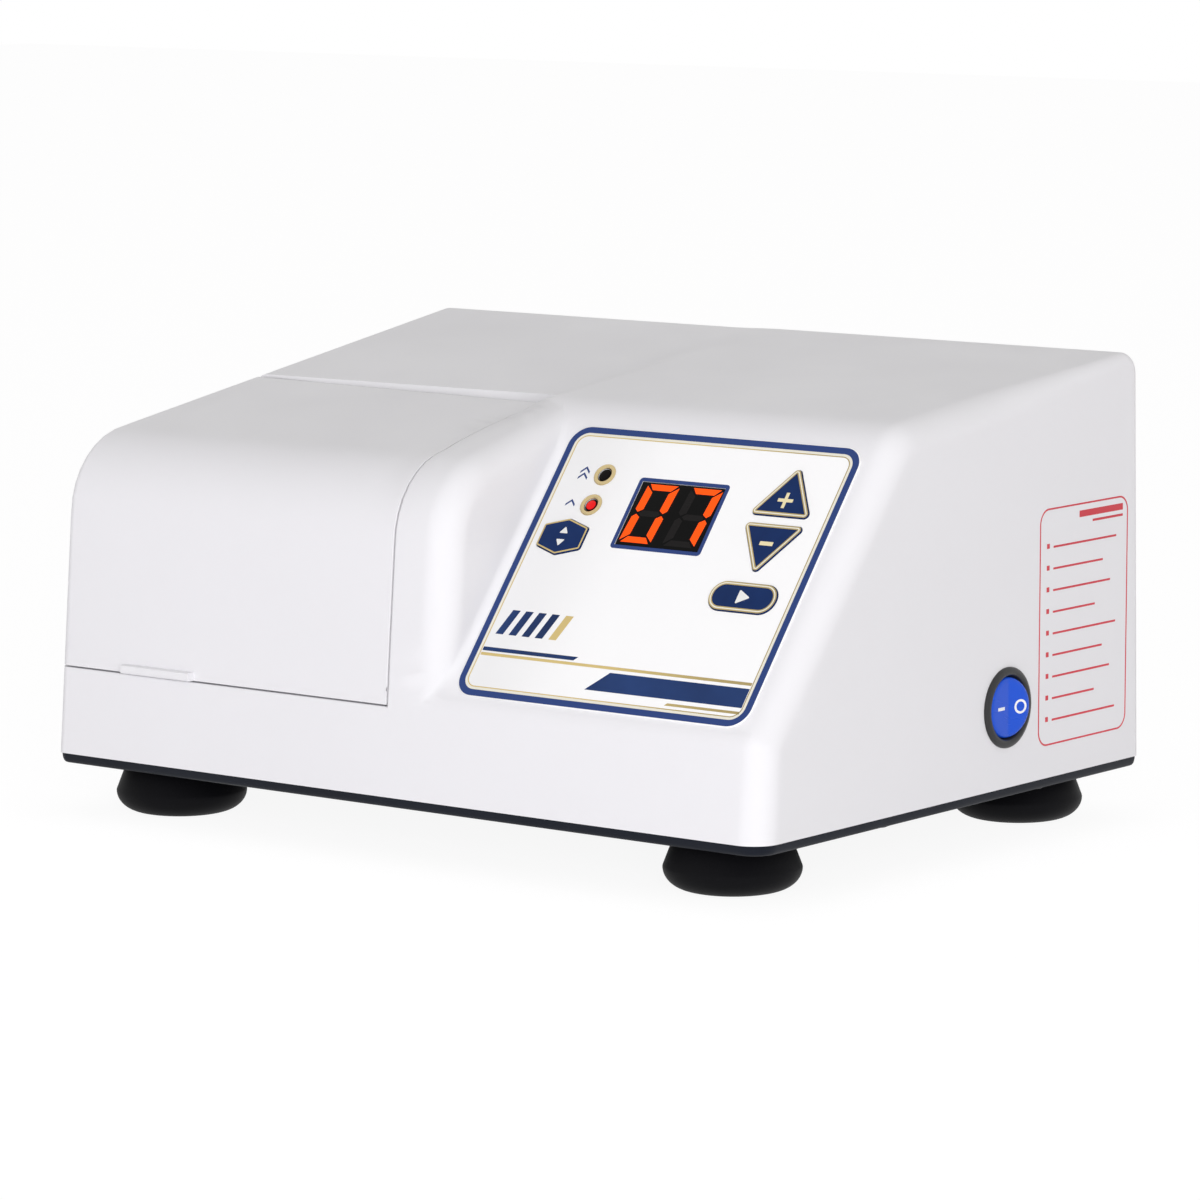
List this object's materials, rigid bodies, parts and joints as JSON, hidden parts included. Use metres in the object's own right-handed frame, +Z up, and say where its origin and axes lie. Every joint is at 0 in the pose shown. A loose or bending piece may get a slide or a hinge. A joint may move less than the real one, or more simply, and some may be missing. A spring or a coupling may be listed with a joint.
{
  "type": "dental amalgamator",
  "caption": "Bench-top dental capsule mixer: white moulded case on rubber feet, hinged corner lid over the mixing chamber, sloping key panel with timer display, side power switch",
  "frame": {"origin": "On the table, under the middle of the case", "axes": "+X to the right of a person who faces the control panel, +Y to the rear, +Z up"},
  "size_m": [0.257, 0.1904, 0.1358],
  "materials": {
    "white_plastic": "moulded, soft gloss",
    "black_plastic": "moulded",
    "rubber": "matt",
    "steel": "zinc plated",
    "base_black": "black powder coat",
    "tub_plastic": "moulded",
    "ivory_plastic": "moulded",
    "overlay": "printed film with a navy border",
    "display_glass": "dark window",
    "led_dark": "unlit lamp",
    "led_red": "lit red lamp",
    "gold_trim": "thin gold ring",
    "navy_key": "printed key with a gold edge",
    "board_green": "solder mask",
    "brass": "turned",
    "grey_ribbon": "flat cable",
    "motor_grey": "zinc plated sheet",
    "cast_alloy": "die cast",
    "lamination": "stacked sheet",
    "copper": "enamelled copper winding",
    "ball_chrome": "polished",
    "clip_steel": "polished spring steel",
    "guide_black": "acetal",
    "gloss_black": "moulded",
    "blue_rocker": "see-through blue",
    "coil_tape": "winding under tape",
    "relay_blue": "moulded"
  },
  "bodies": {
    "case": {"upper_housing": "white_plastic", "base_plate": "base_black", "foot_front_left": "rubber", "foot_front_right": "rubber", "foot_rear_left": "rubber", "foot_rear_right": "rubber", "foot_screws": "steel", "housing_screws": "steel", "lid_hinge_pin": "steel", "chamber_tub": "tub_plastic", "tub_screws": "steel", "lid_switch_body": "black_plastic", "control_overlay": "overlay", "display_window": "display_glass", "display_module": "black_plastic", "led_high": "led_dark", "led_low": "led_red", "led_rings": "gold_trim", "control_board": "board_green", "tact_switches": "black_plastic", "board_standoffs": "brass", "board_screws": "steel", "ribbon_cable": "grey_ribbon", "motor_case": "motor_grey", "front_end_bell": "cast_alloy", "rear_end_bell": "cast_alloy", "stator_core": "lamination", "stator_windings": "copper", "front_bearing": "steel", "rear_bearing": "steel", "motor_bolts": "steel", "motor_bracket": "motor_grey", "motor_isolators": "rubber", "bracket_screws": "steel", "shaft_seal": "rubber", "guide_block": "guide_black", "switch_bezel": "gloss_black", "power_board": "board_green", "transformer_core": "lamination", "transformer_coil": "coil_tape", "relay": "relay_blue", "power_inlet": "black_plastic", "inlet_pins": "steel", "fuse_holder": "black_plastic"},
    "lid": {"lid": "white_plastic"},
    "rotor": {"rotor_core": "lamination", "motor_shaft": "steel", "wobble_bush": "brass", "wobble_bearing_inner": "steel", "wobble_bearing_balls": "ball_chrome"},
    "arm": {"wobble_bearing_outer": "steel", "mixing_arm": "cast_alloy", "capsule_clip": "clip_steel"},
    "rocker": {"switch_rocker": "blue_rocker"},
    "select_key": {"select_button": "navy_key"},
    "plus_key": {"plus_button": "navy_key"},
    "minus_key": {"minus_button": "navy_key"},
    "start_key": {"start_button": "navy_key"},
    "lid_plunger": {"lid_switch_plunger": "ivory_plastic"}
  },
  "joints": [
    {"name": "lid_hinge", "type": "hinge", "parent": "case", "child": "lid", "pos_m": [-0.068, -0.007, 0.11761], "axis": [-1, 0, 0], "range_deg": [0, 92]},
    {"name": "rotor_spin", "type": "hinge", "parent": "case", "child": "rotor", "pos_m": [-0.064, 0, 0.072], "axis": [0, 1, 0], "continuous": true},
    {"name": "arm_bearing", "type": "hinge", "parent": "rotor", "child": "arm", "pos_m": [-0.064, -0.0368, 0.072], "axis": [0.1045, 0.9945, 0], "continuous": true},
    {"name": "rocker_swing", "type": "hinge", "parent": "case", "child": "rocker", "pos_m": [0.125, 0.0233, 0.0405], "axis": [0, 0, 1], "range_deg": [0, 18]},
    {"name": "lid_plunger_slide", "type": "slide", "parent": "case", "child": "lid_plunger", "axis": [0, 0, 1], "range_m": [0, 0.0012]},
    {"name": "select_press", "type": "slide", "parent": "case", "child": "select_key", "axis": [0, 0.7771, -0.6293], "range_m": [0, 0.0008], "stiffness_N_per_m": 600},
    {"name": "plus_press", "type": "slide", "parent": "case", "child": "plus_key", "axis": [0, 0.7771, -0.6293], "range_m": [0, 0.0008], "stiffness_N_per_m": 600},
    {"name": "minus_press", "type": "slide", "parent": "case", "child": "minus_key", "axis": [0, 0.7771, -0.6293], "range_m": [0, 0.0008], "stiffness_N_per_m": 600},
    {"name": "start_press", "type": "slide", "parent": "case", "child": "start_key", "axis": [0, 0.7771, -0.6293], "range_m": [0, 0.0008], "stiffness_N_per_m": 600}
  ],
  "couplings": [
    {"joint": "arm_bearing", "follows": "rotor_spin", "ratio": -1},
    {"joint": "lid_plunger_slide", "follows": "lid_hinge", "m_per_rad": 0.00074659}
  ]
}
